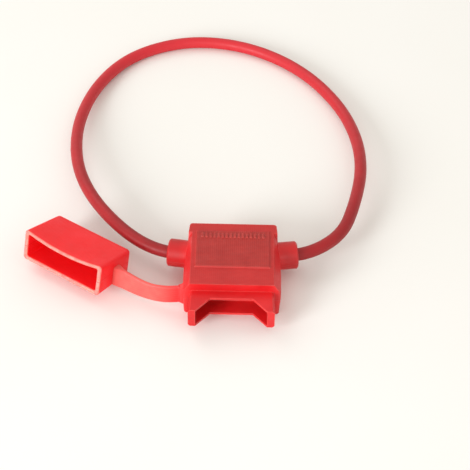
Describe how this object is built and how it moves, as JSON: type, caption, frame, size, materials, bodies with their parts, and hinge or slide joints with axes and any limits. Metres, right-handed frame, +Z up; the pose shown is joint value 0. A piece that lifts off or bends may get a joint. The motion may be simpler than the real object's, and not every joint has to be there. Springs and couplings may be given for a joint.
{
  "type": "inline fuse holder",
  "caption": "Soft moulded inline holder for a blade fuse, with a tethered push-on cap beside it and a loop of lead wire behind.",
  "frame": {"origin": "on the face it rests on, midway between the two wire bosses", "axes": "+Z up out of the rest face, +Y towards the wire loop, the fuse socket opens towards -Y, +X from the tether's side to the other"},
  "size_m": [0.1007, 0.133, 0.0133],
  "materials": {
    "red_pvc": "soft PVC with a fine satin moulding skin",
    "wire_pvc": "extruded PVC insulation, slight sheen",
    "terminal_brass": "stamped brass sheet",
    "copper_core": "bare stranded copper"
  },
  "bodies": {
    "holder": {"holder_body": "red_pvc", "left_terminal": "terminal_brass", "right_terminal": "terminal_brass", "left_core": "copper_core", "right_core": "copper_core", "wire_loop": "wire_pvc"},
    "tether": {"tether_strap": "red_pvc"},
    "tether_tip": {"tether_end": "red_pvc"},
    "cap": {"fuse_cap": "red_pvc"}
  },
  "joints": [
    {"name": "strap_root_bend", "type": "hinge", "parent": "holder", "child": "tether", "pos_m": [-0.0149, -0.0154, 0.00595], "axis": [0.0109, -0.0155, 0.9998], "range_deg": [0, 112.66], "deforming": ["tether_strap"]},
    {"name": "strap_end_bend", "type": "hinge", "parent": "tether", "child": "tether_tip", "pos_m": [-0.0321, -0.00867, 0.00533], "axis": [0.1667, 0.052, 0.9846], "range_deg": [0, 101.21], "deforming": ["tether_end"]},
    {"name": "cap_push", "type": "slide", "parent": "tether_tip", "child": "cap", "axis": [-0.5291, -0.8148, 0.2368], "range_m": [0, 0.00804]}
  ],
  "couplings": [
    {"joint": "strap_end_bend", "follows": "strap_root_bend", "ratio": 0.89834}
  ]
}
